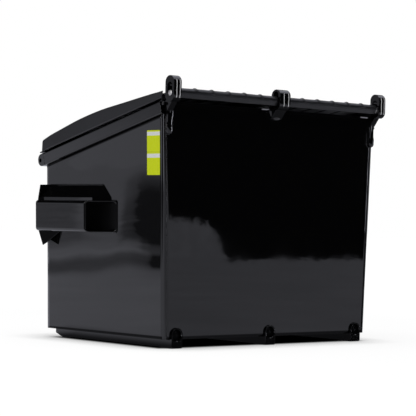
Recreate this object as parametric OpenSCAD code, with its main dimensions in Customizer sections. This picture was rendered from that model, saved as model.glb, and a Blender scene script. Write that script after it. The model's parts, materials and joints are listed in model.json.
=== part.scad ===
// Front-load waste container: welded steel body with a sloping top, three skid
// runners, a fork pocket on each side and two plastic lids on one hinge rod.
// Millimetres. +X is the right-hand side seen from the low front, +Y points to
// the high rear and +Z is up. The origin is on the ground, under the middle of the
// whole container. The modules place the body's own middle at Y = 0, and
// at_origin() moves the finished piece.

/* [Body] */
// Width of the body over the side panels, at the top of the rear panel
body_top_w = 1830; // [1500:10:2200]
// Depth of the body, front panel to rear panel
body_d = 1186; // [1000:2:1400]
// How far each side panel leans out, in millimetres per metre of height
side_lean = 34.5; // [0:0.5:60]
// Height of the body's top edge at the front panel
front_h = 1106; // [900:2:1250]
// Height of the body's top edge at the rear panel
rear_h = 1409; // [1300:1:1600]
// Thickness of the sheet steel
sheet_t = 4; // [3:0.5:8]
// Outer radius of the four formed upright corners
corner_r = 20; // [10:1:40]

/* [Rim] */
// Height of the rim tubes, square to their length
rim_h = 80; // [60:1:100]
// Width of the side and rear rim tubes
rim_w = 50; // [40:1:70]
// Wall of the rim tubes
rim_t = 4; // [3:0.5:6]
// Outer corner radius of the rim tubes
rim_r = 10; // [6:1:16]
// How far the side rim tubes stand out past the widest part of the body
rim_overhang = 15; // [5:1:25]
// How far the rounded front rim reaches ahead of the front panel
rim_nose = 43; // [35:1:60]
// Radius of the hole in each end of the front rim
rim_hole_r = 12; // [6:1:16]

/* [Runners] */
// Height of the body's underside above the ground
ground_gap = 55; // [40:1:90]
// Width of each skid runner
runner_w = 88; // [70:1:110]
// Distance from the middle of the body to an outer runner
runner_x = 775; // [600:5:800]
// Wall of the folded runner channel
runner_t = 6; // [4:0.5:8]
// Thickness of the wear pads under the runners
pad_t = 6; // [4:0.5:10]
// Distance from the front panel back to the tip of a runner
runner_setback = 37; // [5:1:60]
// Length of the sloping nose at the front of a runner
nose_len = 70; // [40:1:110]
// Thickness of the upright tow eye at the rear of a runner
eye_t = 12; // [8:1:20]
// Radius of the hole in a tow eye
eye_hole_r = 34; // [20:1:36]
// Height of the middle of the tow eye's hole above the ground
eye_z = 80; // [60:1:100]

/* [Fork pockets] */
// Height of a fork pocket, outside
pocket_h = 197; // [150:1:240]
// How far a fork pocket stands out from the side panel
pocket_out = 118; // [100:1:150]
// Wall of the fork pocket's tube
pocket_t = 7; // [5:0.5:10]
// Outer corner radius of the fork pocket's tube
pocket_r = 22; // [14:1:30]
// Height of the fork pocket's underside above the ground
pocket_z = 690; // [500:5:800]
// Distance from the front panel back to the pocket's front end
pocket_setback = 48; // [20:1:90]
// Length of the pocket's outer wall
pocket_len = 508; // [400:2:640]
// How much further back the pocket reaches at the side panel, at its slanting rear cut
pocket_cut = 195; // [0:5:220]
// Height of the saddle above the pocket
saddle_h = 98; // [60:1:130]
// How far the saddle stands out over the pocket
saddle_out = 72; // [50:1:90]
// Thickness of the saddle and the gussets
gusset_t = 7; // [5:0.5:12]

/* [Hinge] */
// Distance of the hinge rod behind the rear panel
hinge_back = 59; // [56:1:80]
// Height of the hinge rod's middle above the top edge of the rear panel
hinge_rise = 123; // [106:1:150]
// Radius of the hinge rod
rod_r = 18; // [12:0.5:20]
// Width of the slots that the rod rests in
slot_w = 44; // [42:1:50]
// How far the rod can rise in its slots
slot_rise = 40; // [20:1:45]
// Width of a hinge ear, front to back
ear_d = 80; // [72:1:100]
// Thickness of a hinge ear, side to side
ear_w = 60; // [40:1:70]
// Solid height over the slot at the top of a hinge ear
ear_crown = 39; // [10:1:60]
// Width of a hinge ear's foot on the rear panel
foot_w = 44; // [30:1:50]
// Thickness of the feet of the ears and of the middle bracket
foot_t = 20; // [10:1:26]
// Thickness of the middle hinge lug, side to side
mid_lug_w = 90; // [60:1:110]
// Solid height over the slot at the top of the middle lug
mid_crown = 12; // [8:1:40]
// Gap between the lowest part of the rod and its slot
rod_seat_gap = 0.3; // [0.1:0.1:0.5]
// Outer radius of the lids' hinge barrel
barrel_r = 26; // [24:0.5:28]
// How far the lids' hinge barrel is drawn up above its round bore
barrel_rise = 9; // [0:1:14]
// Gap between the rod and the lids' hinge barrel
barrel_gap = 0.5; // [0.3:0.1:1]
// Outer radius of the rod's stop collars
collar_r = 25; // [22:0.5:27]
// Width of a stop collar
collar_w = 12; // [8:1:14]

/* [Lids] */
// Thickness of the lid's moulded skin
lid_t = 8; // [5:0.5:10]
// Gap between the two lids
lid_gap = 14; // [8:1:30]
// Gap between the lid's outer edge and the rim below it
lid_shadow_gap = 13; // [8:1:20]
// Number of raised ribs on a lid
rib_count = 5; // [3:1:6]
// Spacing of the lid's ribs
rib_pitch = 135; // [110:1:145]
// How far the ribs stand off the lid's middle, towards the container's middle
rib_shift = 14; // [0:1:20]
// Width of a rib
rib_w = 30; // [20:1:40]
// Height of a rib
rib_h = 6; // [4:0.5:8]

/* [Decals] */
// Width of a decal
decal_w = 121; // [80:1:140]
// Height of the upper decal
decal_upper_h = 131; // [90:1:140]
// Height of the lower decal
decal_lower_h = 138; // [90:1:150]
// How far the seam between the two decals lies below the top edge of the rear panel
decal_drop = 227; // [200:1:300]
// Thickness of a decal
decal_t = 1; // [0.5:0.5:2]

/* [Hidden] */
$fn = 48;

// Body: derived places
half_d = body_d / 2;
top_slope = (rear_h - front_h) / body_d;          // rise of the top edge per millimetre of depth
slope_a = atan(top_slope);
lean = side_lean / 1000;
lean_a = atan(lean);
ground_half_w = body_top_w / 2 - lean * rear_h;   // half width where a side panel would meet the ground
fit_gap = 0.3;                                    // gap between loose-fitting sheet edges
decal_r = 5;
decal_z = rear_h - decal_drop;                    // seam between the two decals
reach = 3000;                                     // longer than anything that it cuts
paint = [0.02, 0.02, 0.022];
lid_black = [0.06, 0.06, 0.065];
steel = [0.75, 0.76, 0.78];
yellow = [0.92, 0.9, 0.08];

// Rim: derived places
rim_x = body_top_w / 2 + rim_overhang;            // outer face of the side rims
rim_in_x = rim_x - rim_w;
nose_r = rim_h / 2 - 4;
nose_mid_y = nose_r - rim_nose;
nose_back = 22;                                   // how far the front rim reaches behind the front panel
lip_h = 34;                                       // height of the curved lip under the front rim

// Hinge: derived places
hinge_y = half_d + hinge_back;
hinge_z = rear_h + hinge_rise;
hinge_wall_y = half_d + fit_gap;                  // where the lugs' feet begin
slot_low_z = hinge_z + slot_w / 2 - rod_r - rod_seat_gap;
slot_high_z = slot_low_z + slot_rise;
ear_low_z = hinge_z - 12;                         // middle of the round underside of a lug
ear_out_x = rim_x - 9;
ear_in_x = ear_out_x - ear_w;
arm_low_z = rear_h + 18;
arm_out_x = ear_out_x - 16;
foot_in_x = ear_in_x - 8;
foot_low_z = rear_h - 121;
pad_r = mid_lug_w / 2 + 18;                       // round underside of the middle bracket
rod_end_x = ear_out_x - 2;
collar_x = ear_in_x - fit_gap - collar_w;
barrel_out_x = collar_x - 2;
barrel_in_x = mid_lug_w / 2 + 3;

// Lids: derived places
lid_x = rim_x;
skirt_in_x = lid_x - lid_t;
notch_y = hinge_y - 132;                          // the lid's corners stay clear of the lugs behind this
rest_gap = 0.4;
rim_top_h = rim_h / cos(slope_a);

// Whole container, front to back
lid_lip_reach = 28;                               // how far a lid's front lip sticks out
front_most_y = min(-half_d + nose_mid_y * cos(slope_a) - (rim_h - nose_r) * sin(slope_a) - nose_r,
                   -half_d - 12 - lid_lip_reach);
middle_y = (front_most_y + hinge_y + ear_d / 2) / 2;

// Height of the rim's underside and of its top at a distance y along the body
function rim_z(y) = front_h + (y + half_d) * top_slope;
function rim_top_z(y) = rim_z(y) + rim_top_h;

// Lid outline seen from the side, front to rear: bend points with their radii.
// A bend is given by its place ahead of the hinge and its height above the rim's top.
lid_front_y = -half_d - 19;
function lid_bend(y, h) = [y, rim_top_z(y) + h];
lid_bends = [lid_bend(lid_front_y - 3, lid_shadow_gap), lid_bend(lid_front_y, 88), lid_bend(-half_d + 66, 101.5),
             lid_bend(-half_d + 476, 124.5), lid_bend(half_d - 9, 60),
             [hinge_y, hinge_z + barrel_r + barrel_rise]];
lid_bend_r = [0, 26, 1200, 4000, 200, 0];
bend_steps = 9;

// Points of a path with each bend rounded to a radius
function unit(v) = v / norm(v);
function bend_points(a, b, c, r) =
    r <= 0 ? [b] :
    let (p = unit(a - b), q = unit(c - b),
         half = acos(max(-1, min(1, p * q))) / 2,
         cut = min(r / tan(half), 0.48 * norm(a - b), 0.48 * norm(c - b)))
    [for (i = [0 : bend_steps]) let (t = i / bend_steps)
        (1 - t) * (1 - t) * (b + p * cut) + 2 * t * (1 - t) * b + t * t * (b + q * cut)];
function rounded_path(pts, radii) = [for (i = [0 : len(pts) - 1])
    each (i == 0 || i == len(pts) - 1) ? [pts[i]] : bend_points(pts[i - 1], pts[i], pts[i + 1], radii[i])];

// Points moved square to the path by a distance, to its right-hand side
function path_dir(p, i) = unit(p[min(i + 1, len(p) - 1)] - p[max(i - 1, 0)]);
function shifted(p, d) = [for (i = [0 : len(p) - 1]) let (t = path_dir(p, i)) p[i] + d * [t[1], -t[0]]];
function reversed(p) = [for (i = [len(p) - 1 : -1 : 0]) p[i]];
lid_line = rounded_path(lid_bends, lid_bend_r);

// ---- Shared shapes ----

// An outline drawn in Y and Z, made solid from x0 to x1
module across(x0, x1) {
    translate([x0, 0, 0]) rotate([90, 0, 90]) linear_extrude(x1 - x0) children();
}

// An outline drawn in X and Z, made solid from y0 to y1
module along(y0, y1) {
    translate([0, y1, 0]) rotate([90, 0, 0]) linear_extrude(y1 - y0) children();
}

// The frame of the right side panel: X is 0 on its outer face, Z runs up the panel
module on_side() {
    translate([ground_half_w, 0, 0]) rotate([0, lean_a, 0]) children();
}

// The frame of the sloping rim: Y runs back along it, Z is 0 on its underside
module on_rim() {
    translate([0, -half_d, front_h]) rotate([slope_a, 0, 0]) children();
}

// Everything under the rim's underside
module below_rim() {
    on_rim() translate([-reach / 2, -reach / 2, -reach]) cube([reach, reach, reach]);
}

module rounded_square(w, h, r) {
    translate([r, 0]) square([w - 2 * r, h]);
    translate([0, r]) square([w, h - 2 * r]);
    for (x = [r, w - r], y = [r, h - r]) translate([x, y]) circle(r);
}

// Cross-section of a tube
module tube_section(w, h, r, t) {
    difference() {
        rounded_square(w, h, r);
        translate([t, t]) rounded_square(w - 2 * t, h - 2 * t, max(r - t, 1));
    }
}

// ---- Body panels ----

module floor_panel() {
    inner_half = ground_half_w + lean * ground_gap - sheet_t - fit_gap;
    depth = body_d - 2 * sheet_t - 2 * fit_gap;
    color(paint) translate([-inner_half, -depth / 2, ground_gap]) linear_extrude(sheet_t)
        rounded_square(2 * inner_half, depth, corner_r - sheet_t);
}

// A front or rear panel with its outer face on y and its body towards +Y
module cross_panel(y, top) {
    half_at = function(z) ground_half_w + lean * z - corner_r / cos(lean_a) - fit_gap;
    color(paint) along(y, y + sheet_t)
        polygon([[-half_at(ground_gap), ground_gap], [half_at(ground_gap), ground_gap],
                 [half_at(top), top], [-half_at(top), top]]);
}

// The rear panel also runs up behind the rear rim, between the side rims
module rear_panel() {
    half_in = rim_in_x - fit_gap;
    cross_panel(half_d - sheet_t, rim_z(half_d - sheet_t) - fit_gap);
    color(paint) translate([-half_in, half_d - sheet_t, rear_h - 20])
        cube([2 * half_in, sheet_t, rim_h + 20 - rim_r / 2]);
}
module front_panel() { cross_panel(-half_d, front_h - fit_gap); }

module side_panel() {
    color(paint) intersection() {
        on_side() translate([-sheet_t, -half_d + corner_r + fit_gap, ground_gap])
            cube([sheet_t, body_d - 2 * (corner_r + fit_gap), rear_h + rim_h]);
        below_rim();
    }
}

// A formed corner: a quarter of a tube that leans with the side panel
module body_corner(y_sign) {
    color(paint) intersection() {
        on_side() translate([-corner_r, y_sign * (half_d - corner_r), ground_gap])
            linear_extrude(rear_h + rim_h) intersection() {
                difference() {
                    circle(corner_r);
                    circle(corner_r - sheet_t);
                }
                translate([0, y_sign > 0 ? 0 : -corner_r]) square(corner_r);
            }
        below_rim();
    }
}

// ---- Rim ----

module side_rim() {
    back = (body_d - fit_gap) / cos(slope_a);
    color(paint) on_rim() translate([rim_in_x, back, 0]) rotate([90, 0, 0])
        linear_extrude(back - nose_back - fit_gap) tube_section(rim_w, rim_h, rim_r, rim_t);
}

// Outline of the rounded front rim, in Y and Z of the rim's frame
module nose_outline(inset) {
    r = nose_r - inset;
    translate([nose_mid_y, inset]) square([nose_back - inset - nose_mid_y, rim_h - 2 * inset]);
    intersection() {
        for (z = [nose_r, rim_h - nose_r]) translate([nose_mid_y, z]) circle(r);
        translate([-reach, 0]) square([reach + nose_back - inset, rim_h]);
    }
    translate([nose_mid_y - r, nose_r]) square([r, rim_h - 2 * nose_r]);
}

module front_rim() {
    lip_r = lip_h - 4;
    color(paint) {
        on_rim() difference() {
            across(-rim_x, rim_x) nose_outline(0);
            across(-rim_x + rim_t, rim_x - rim_t) nose_outline(rim_t);
            translate([-rim_x - 1, nose_mid_y - 12, rim_h / 2]) rotate([0, 90, 0])
                cylinder(r = rim_hole_r, h = 2 * rim_x + 2);
        }
        // Curved lip between the rim and the front panel
        lip_x = ground_half_w + lean * (front_h - lip_h) - corner_r;
        across(-lip_x, lip_x) difference() {
            translate([-half_d - 20, front_h - lip_h]) square([20 - fit_gap, lip_h - 4]);
            translate([-half_d - 5 - lip_r, front_h - lip_h]) circle(lip_r);
        }
    }
}

module rear_rim() {
    color(paint) across(-rim_in_x + fit_gap, rim_in_x - fit_gap)
        translate([half_d - sheet_t - fit_gap - rim_w, rear_h]) tube_section(rim_w, rim_h, rim_r, rim_t);
}

// ---- Runners ----

// Runner seen from the side: a flat underside with a sloping nose
module runner_side(inset) {
    front = -half_d + runner_setback;
    bottom = pad_t + inset;
    run = nose_len * (ground_gap - 26 - pad_t) / (ground_gap - 26);
    polygon([[front + inset, ground_gap + (inset > 0 ? 1 : 0)], [front + inset, 26 + inset / 2],
             [front + run + inset / 2, bottom], [half_d + (inset > 0 ? -1 : 0), bottom],
             [half_d + (inset > 0 ? -1 : 0), ground_gap + (inset > 0 ? 1 : 0)]]);
}

module runner() {
    eye_r = runner_w / 2;
    color(paint) {
        difference() {
            across(-runner_w / 2, runner_w / 2) runner_side(0);
            across(-runner_w / 2 + runner_t, runner_w / 2 - runner_t) runner_side(runner_t);
        }
        // Tow eye, with its hole's outer edge chamfered
        difference() {
            along(half_d, half_d + eye_t) {
                translate([-eye_r, pad_t]) square([2 * eye_r, eye_z - pad_t]);
                translate([0, eye_z]) circle(eye_r);
            }
            translate([0, half_d - 1, eye_z]) rotate([-90, 0, 0]) cylinder(r = eye_hole_r, h = eye_t + 2);
            translate([0, half_d + eye_t - 4, eye_z]) rotate([-90, 0, 0])
                cylinder(r1 = eye_hole_r, r2 = eye_hole_r + 5, h = 5);
        }
    }
}

runner_places = [-runner_x, 0, runner_x];

module wear_pads(y0, y1) {
    pad_w = runner_w - 8;
    color(paint) for (x = runner_places) translate([x - pad_w / 2, y0, 0]) cube([pad_w, y1 - y0, pad_t]);
}

module front_wear_pads() {
    flat = -half_d + runner_setback + nose_len;
    wear_pads(flat - 8, flat + 50);
}

module rear_wear_pads() { wear_pads(half_d + eye_t - 110, half_d + eye_t - 2); }

// ---- Fork pockets, in the frame of the right side panel ----

pocket_front_y = -half_d + pocket_setback;
pocket_back_y = pocket_front_y + pocket_len;
pocket_top_z = pocket_z + pocket_h;

module fork_pocket() {
    color(paint) on_side() difference() {
        along(pocket_front_y, pocket_back_y + pocket_cut)
            translate([fit_gap, pocket_z]) tube_section(pocket_out - fit_gap, pocket_h, pocket_r, pocket_t);
        // Slanting cut across the rear end
        translate([0, 0, pocket_z - 1]) linear_extrude(pocket_h + 2)
            polygon([[0, pocket_back_y + pocket_cut], [pocket_out + 1, pocket_back_y - pocket_cut / pocket_out],
                     [pocket_out + 1, reach], [0, reach]]);
    }
}

// The saddle is a folded plate: a sloping face, an upright foot and a slanting rear end
module saddle_block(inset, spill) {
    foot_h = 18;
    out = saddle_out - inset;
    top = pocket_top_z + saddle_h - inset * 1.4;
    low = pocket_top_z - spill;
    front = pocket_front_y - spill;
    tip = pocket_back_y + 55 - inset;
    tail = pocket_back_y + 130 - inset * 1.6;
    step = pocket_back_y + 25 - inset;
    hull() {
        translate([0, front, low]) cube([0.01, tail - front, foot_h + spill - inset * 0.3]);
        translate([0, front, low]) cube([0.01, tip - front, top - low]);
        translate([out - 0.01, front, low]) cube([0.01, step - front, foot_h + spill - inset * 0.3]);
    }
}

module pocket_saddle() {
    color(paint) on_side() difference() {
        saddle_block(0, 0);
        translate([-1, 0, 0]) saddle_block(gusset_t, 1);
    }
}

// Upright plate across the front end of the pocket's top
module end_gusset() {
    color(paint) on_side() along(pocket_front_y - gusset_t - fit_gap, pocket_front_y - fit_gap)
        polygon([[0, pocket_top_z - pocket_t], [96, pocket_top_z - pocket_t], [94, pocket_top_z + 14],
                 [77, pocket_top_z + saddle_h], [0, pocket_top_z + saddle_h]]);
}

// Wedge-shaped brace under the front end of the pocket
module lower_gusset() {
    y = pocket_front_y;
    color(paint) on_side() polyhedron(
        points = [[0, y, pocket_z], [0, y + 117, pocket_z], [98, y, pocket_z],
                  [0, y, pocket_z - 65], [64, y, pocket_z - 98]],
        faces = [[0, 1, 2], [0, 3, 1], [3, 4, 1], [4, 2, 1], [0, 2, 4, 3]]);
}

// ---- Hinge ----

module slot_outline() {
    translate([hinge_y, slot_low_z]) circle(slot_w / 2);
    translate([hinge_y, slot_high_z]) circle(slot_w / 2);
    translate([hinge_y - slot_w / 2, slot_low_z]) square([slot_w, slot_rise]);
}

// Head of a lug, seen from the side; crown is the solid height over the slot
module lug_head(crown) {
    r = ear_d / 2;
    top_z = slot_high_z + slot_w / 2 + crown - r;
    for (z = [ear_low_z, top_z]) translate([hinge_y, z]) circle(r);
    translate([hinge_y - r, ear_low_z]) square([ear_d, top_z - ear_low_z]);
}

// Arm between the rear panel and the head, seen from the side
module lug_arm() {
    polygon([[hinge_wall_y, arm_low_z], [hinge_wall_y + foot_t, arm_low_z],
             [hinge_y + 6, ear_low_z - ear_d / 2 + 6], [hinge_y, ear_low_z], [hinge_wall_y, rear_h + rim_h - 4]]);
}

module hinge_ear() {
    r = foot_w / 2;
    color(paint) difference() {
        union() {
            across(ear_in_x, ear_out_x) lug_head(ear_crown);
            across(ear_in_x, arm_out_x) lug_arm();
            // Foot on the rear panel, round at its lower end
            along(hinge_wall_y, hinge_wall_y + foot_t) {
                translate([foot_in_x + r, foot_low_z + r]) circle(r);
                translate([foot_in_x, foot_low_z + r]) square([foot_w, arm_low_z - foot_low_z - r + 1]);
            }
        }
        across(ear_in_x - 1, ear_out_x + 1) slot_outline();
    }
}

module middle_hinge_bracket() {
    pad_mid_z = arm_low_z - 8 + pad_r;
    color(paint) difference() {
        union() {
            across(-mid_lug_w / 2, mid_lug_w / 2) {
                lug_head(mid_crown);
                lug_arm();
            }
            // Round-bottomed foot on the rear rim
            along(hinge_wall_y, hinge_wall_y + foot_t) intersection() {
                translate([0, pad_mid_z]) circle(pad_r);
                translate([-pad_r, 0]) square([2 * pad_r, pad_mid_z]);
            }
        }
        across(-mid_lug_w / 2 - 1, mid_lug_w / 2 + 1) slot_outline();
    }
}

module lid_rod() {
    color(steel) translate([-rod_end_x, hinge_y, hinge_z]) rotate([0, 90, 0])
        cylinder(r = rod_r, h = 2 * rod_end_x);
}

module rod_collars() {
    color(steel) for (x = [collar_x, -collar_x - collar_w]) translate([x, hinge_y, hinge_z])
        rotate([0, 90, 0]) difference() {
            cylinder(r = collar_r, h = collar_w);
            translate([0, 0, -1]) cylinder(r = rod_r + 0.1, h = collar_w + 2);
        }
}

// ---- Lids ----

// Band of the lid's skin between two distances below its outer face
module skin_band(top, under) {
    polygon(concat(shifted(lid_line, top), reversed(shifted(lid_line, under))));
}

// Area under the lid's outer face, down to a height above the rim's top
module lid_side(above_rim, back_y) {
    front = lid_front_y - 1;
    intersection() {
        polygon(concat(shifted(lid_line, 0.5), [[hinge_y, 0], [lid_front_y, 0]]));
        polygon([[front, rim_top_z(front) + above_rim], [back_y, rim_top_z(back_y) + above_rim],
                 [back_y, reach], [front, reach]]);
    }
}

module lid() {
    in_x = lid_gap / 2;
    rest_in = skirt_in_x - 22;
    color(lid_black) difference() {
        union() {
            // Moulded skin
            across(in_x, lid_x - 1) skin_band(0, lid_t);
            // Outer and inner skirts
            across(skirt_in_x, lid_x) lid_side(lid_shadow_gap, half_d - 9);
            across(in_x, in_x + lid_t) lid_side(lid_shadow_gap + 40, notch_y);
            // Rib that rests on the side rim, set back from the outer face
            across(rest_in, rest_in + lid_t) lid_side(rest_gap, notch_y);
            // Front lip
            lip_y = lid_front_y - 3;
            across(in_x, lid_x) polygon([[lip_y - lid_lip_reach, rim_top_z(lip_y) + lid_shadow_gap - 4],
                                         [lip_y + lid_t, rim_top_z(lip_y) + lid_shadow_gap],
                                         [lip_y + lid_t, rim_top_z(lip_y) + lid_shadow_gap + 9],
                                         [lip_y - lid_lip_reach, rim_top_z(lip_y) + lid_shadow_gap + 5]]);
            // Raised ribs
            for (i = [0 : rib_count - 1]) {
                x = (lid_x + in_x) / 2 - rib_shift + (i - (rib_count - 1) / 2) * rib_pitch;
                across(x - rib_w / 2, x + rib_w / 2) skin_band(-rib_h, 1);
            }
            // Hinge barrel
            translate([barrel_in_x, hinge_y, hinge_z]) rotate([0, 90, 0])
                linear_extrude(barrel_out_x - barrel_in_x) hull() for (rise = [0, barrel_rise])
                    translate([-rise, 0]) circle(r = barrel_r);
        }
        // Corners cut away round the lugs, and the skin that would reach past the outer skirt
        translate([in_x - 1, notch_y, 0]) cube([barrel_in_x - in_x + 1, reach, reach]);
        translate([barrel_out_x, notch_y, 0]) cube([skirt_in_x - barrel_out_x, reach, reach]);
        translate([skirt_in_x - 1, half_d - 9, 0]) cube([reach, reach, reach]);
        // Bore
        translate([barrel_in_x - 1, hinge_y, hinge_z]) rotate([0, 90, 0])
            cylinder(r = rod_r + barrel_gap, h = barrel_out_x - barrel_in_x + 2);
    }
}

// ---- Decals ----

module decal(z, h) {
    back_y = half_d - 154;
    color(yellow) on_side() translate([0, back_y, z]) rotate([90, 0, 90])
        linear_extrude(decal_t) rounded_square(decal_w, h, decal_r);
}

module upper_decal() { decal(decal_z, decal_upper_h); }
module lower_decal() { decal(decal_z - decal_lower_h - 1, decal_lower_h); }

// Left-hand pieces mirror the right-hand ones
module left() { mirror([1, 0, 0]) children(); }

module at_origin() { translate([0, -middle_y, 0]) children(); }

at_origin() floor_panel();
at_origin() front_panel();
at_origin() rear_panel();
at_origin() side_panel();  // right_side_panel
at_origin() left() side_panel();  // left_side_panel
at_origin() body_corner(1);  // right_rear_corner
at_origin() left() body_corner(1);  // left_rear_corner
at_origin() body_corner(-1);  // right_front_corner
at_origin() left() body_corner(-1);  // left_front_corner
at_origin() front_rim();
at_origin() rear_rim();
at_origin() side_rim();  // right_rim
at_origin() left() side_rim();  // left_rim
at_origin() translate([runner_x, 0, 0]) runner();  // right_runner
at_origin() runner();  // middle_runner
at_origin() translate([-runner_x, 0, 0]) runner();  // left_runner
at_origin() front_wear_pads();
at_origin() rear_wear_pads();
at_origin() fork_pocket();  // right_fork_pocket
at_origin() left() fork_pocket();  // left_fork_pocket
at_origin() pocket_saddle();  // right_pocket_saddle
at_origin() left() pocket_saddle();  // left_pocket_saddle
at_origin() end_gusset();  // right_end_gusset
at_origin() left() end_gusset();  // left_end_gusset
at_origin() lower_gusset();  // right_lower_gusset
at_origin() left() lower_gusset();  // left_lower_gusset
at_origin() hinge_ear();  // right_hinge_ear
at_origin() left() hinge_ear();  // left_hinge_ear
at_origin() middle_hinge_bracket();
at_origin() lid_rod();
at_origin() rod_collars();
at_origin() lid();  // right_lid
at_origin() left() lid();  // left_lid
at_origin() upper_decal();
at_origin() lower_decal();
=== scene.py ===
"""Looks of a front-load waste container: gloss-painted steelwork, plastic lids and a hinge rod."""

import json
import logging
import math
from collections.abc import Callable
from dataclasses import dataclass, field
from enum import Enum

import bmesh
import bpy
import numpy as np
from mathutils import Matrix, Vector


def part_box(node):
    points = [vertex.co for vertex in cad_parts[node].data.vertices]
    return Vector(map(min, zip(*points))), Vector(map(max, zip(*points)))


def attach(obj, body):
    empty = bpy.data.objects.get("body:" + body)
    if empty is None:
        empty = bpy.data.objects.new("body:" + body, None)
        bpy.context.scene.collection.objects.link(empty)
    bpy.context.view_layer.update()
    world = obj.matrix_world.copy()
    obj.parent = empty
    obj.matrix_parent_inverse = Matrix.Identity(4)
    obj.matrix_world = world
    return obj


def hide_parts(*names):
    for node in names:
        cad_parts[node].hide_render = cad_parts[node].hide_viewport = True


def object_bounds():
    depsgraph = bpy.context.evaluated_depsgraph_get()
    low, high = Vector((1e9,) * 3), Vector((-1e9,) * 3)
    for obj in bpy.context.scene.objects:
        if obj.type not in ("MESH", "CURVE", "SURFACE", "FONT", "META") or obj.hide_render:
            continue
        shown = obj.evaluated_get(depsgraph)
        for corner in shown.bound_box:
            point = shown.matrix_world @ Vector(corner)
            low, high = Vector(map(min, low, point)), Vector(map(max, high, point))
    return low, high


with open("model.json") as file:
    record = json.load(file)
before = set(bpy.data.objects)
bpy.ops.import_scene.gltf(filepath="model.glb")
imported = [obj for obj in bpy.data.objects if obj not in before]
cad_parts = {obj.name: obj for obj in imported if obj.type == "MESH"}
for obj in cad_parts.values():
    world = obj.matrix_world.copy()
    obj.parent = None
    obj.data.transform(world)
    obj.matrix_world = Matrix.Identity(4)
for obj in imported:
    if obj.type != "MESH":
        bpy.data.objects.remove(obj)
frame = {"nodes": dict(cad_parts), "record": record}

CAD_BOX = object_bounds()
LOG = logging.getLogger("container")
MM = 0.001
Triple = tuple[float, float, float]
FacePicker = Callable[[np.ndarray, np.ndarray], np.ndarray]


class Body(Enum):
    """The bodies that a piece can ride on."""

    CONTAINER = "container"
    ROD = "lid_rod"
    RIGHT_LID = "right_lid"
    LEFT_LID = "left_lid"


class Slot(Enum):
    """The record's material slots."""

    PAINT = "black_paint"
    STEEL = "bare_steel"
    PLASTIC = "lid_plastic"
    DECAL = "decal_yellow"


# ---------------------------------------------------------------- node graphs


class Graph:
    """A small wrapper that fills a node tree."""

    def __init__(self, tree: bpy.types.NodeTree) -> None:
        """Empties a tree and keeps it.

        Args:
            tree: The node tree of a material or a world.
        """
        self.tree = tree
        tree.nodes.clear()

    def node(self, kind: str, inputs: dict | None = None, **props: object) -> bpy.types.Node:
        """Adds one node.

        Args:
            kind: The node's type name, without its ShaderNode prefix.
            inputs: Socket name or number to a constant, or to an output socket to link.
            **props: Properties of the node itself.

        Returns:
            The new node.
        """
        made = self.tree.nodes.new("ShaderNode" + kind)
        for name, value in props.items():
            setattr(made, name, value)
        for name, value in (inputs or {}).items():
            if isinstance(value, bpy.types.NodeSocket):
                self.tree.links.new(value, made.inputs[name])
            else:
                made.inputs[name].default_value = value
        return made

    def math(self, operation: str, a: object, b: object = 0.0, clamp: bool = False) -> bpy.types.NodeSocket:
        """Adds a Math node and returns its output.

        Args:
            operation: The Math node's operation.
            a: First number or socket.
            b: Second number or socket.
            clamp: Whether the result stays between 0 and 1.

        Returns:
            The node's output socket.
        """
        return self.node("Math", {0: a, 1: b}, operation=operation, use_clamp=clamp).outputs[0]

    def ramp(self, value: object, low: float, high: float, out_low: float = 0.0,
             out_high: float = 1.0) -> bpy.types.NodeSocket:
        """Maps a range to another with a smooth step.

        Args:
            value: The socket to read.
            low: Input that gives out_low.
            high: Input that gives out_high.
            out_low: Output at the low end.
            out_high: Output at the high end.

        Returns:
            The mapped socket.
        """
        limits = {"From Min": low, "From Max": high, "To Min": out_low, "To Max": out_high}
        made = self.node("MapRange", {"Value": value, **limits}, interpolation_type="SMOOTHSTEP")
        return made.outputs["Result"]

    def noise(self, vector: object, scale: float, detail: float = 2.0,
              roughness: float = 0.5) -> bpy.types.NodeSocket:
        """Adds a noise texture and returns its grey output."""
        inputs = {"Vector": vector, "Scale": scale, "Detail": detail, "Roughness": roughness}
        return self.node("TexNoise", inputs).outputs["Fac"]

    def offset(self, vector: object, start: Triple) -> bpy.types.NodeSocket:
        """Adds a subtraction: the way from a fixed point to a vector."""
        return self.node("VectorMath", {0: vector, 1: start}, operation="SUBTRACT").outputs[0]

    def along(self, vector: object, axis: Triple) -> bpy.types.NodeSocket:
        """Adds a dot product: a vector's length along an axis."""
        return self.node("VectorMath", {0: vector, 1: axis}, operation="DOT_PRODUCT").outputs["Value"]

    def bump(self, height: object, distance: float, **more: object) -> bpy.types.NodeSocket:
        """Adds a bump of full strength and returns its normal."""
        inputs = {"Height": height, "Strength": 1.0, "Distance": distance, **more}
        return self.node("Bump", inputs).outputs["Normal"]

    def mix(self, factor: object, a: object, b: object, blend: str = "MIX") -> bpy.types.NodeSocket:
        """Mixes two colours.

        Args:
            factor: Share of the second colour, a number or a socket.
            a: First colour or socket.
            b: Second colour or socket.
            blend: The Mix node's way of blending.

        Returns:
            The mixed colour's socket.
        """
        made = self.node("Mix", data_type="RGBA", blend_type=blend)
        for index, value in ((0, factor), (6, a), (7, b)):
            if isinstance(value, bpy.types.NodeSocket):
                self.tree.links.new(value, made.inputs[index])
            else:
                made.inputs[index].default_value = value
        return made.outputs[2]


def rgba(colour: Triple) -> tuple[float, float, float, float]:
    """Adds full alpha to a colour."""
    return (*colour, 1.0)


def start_material(name: str) -> tuple[bpy.types.Material, Graph, bpy.types.NodeSocket]:
    """Starts a node material.

    Args:
        name: The material's name.

    Returns:
        The material, its graph, and the shaded point's place in the object.
    """
    made = bpy.data.materials.new(name)
    made.use_nodes = True
    graph = Graph(made.node_tree)
    return made, graph, graph.node("TexCoord").outputs["Object"]


# ---------------------------------------------------------------- finishes


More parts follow.
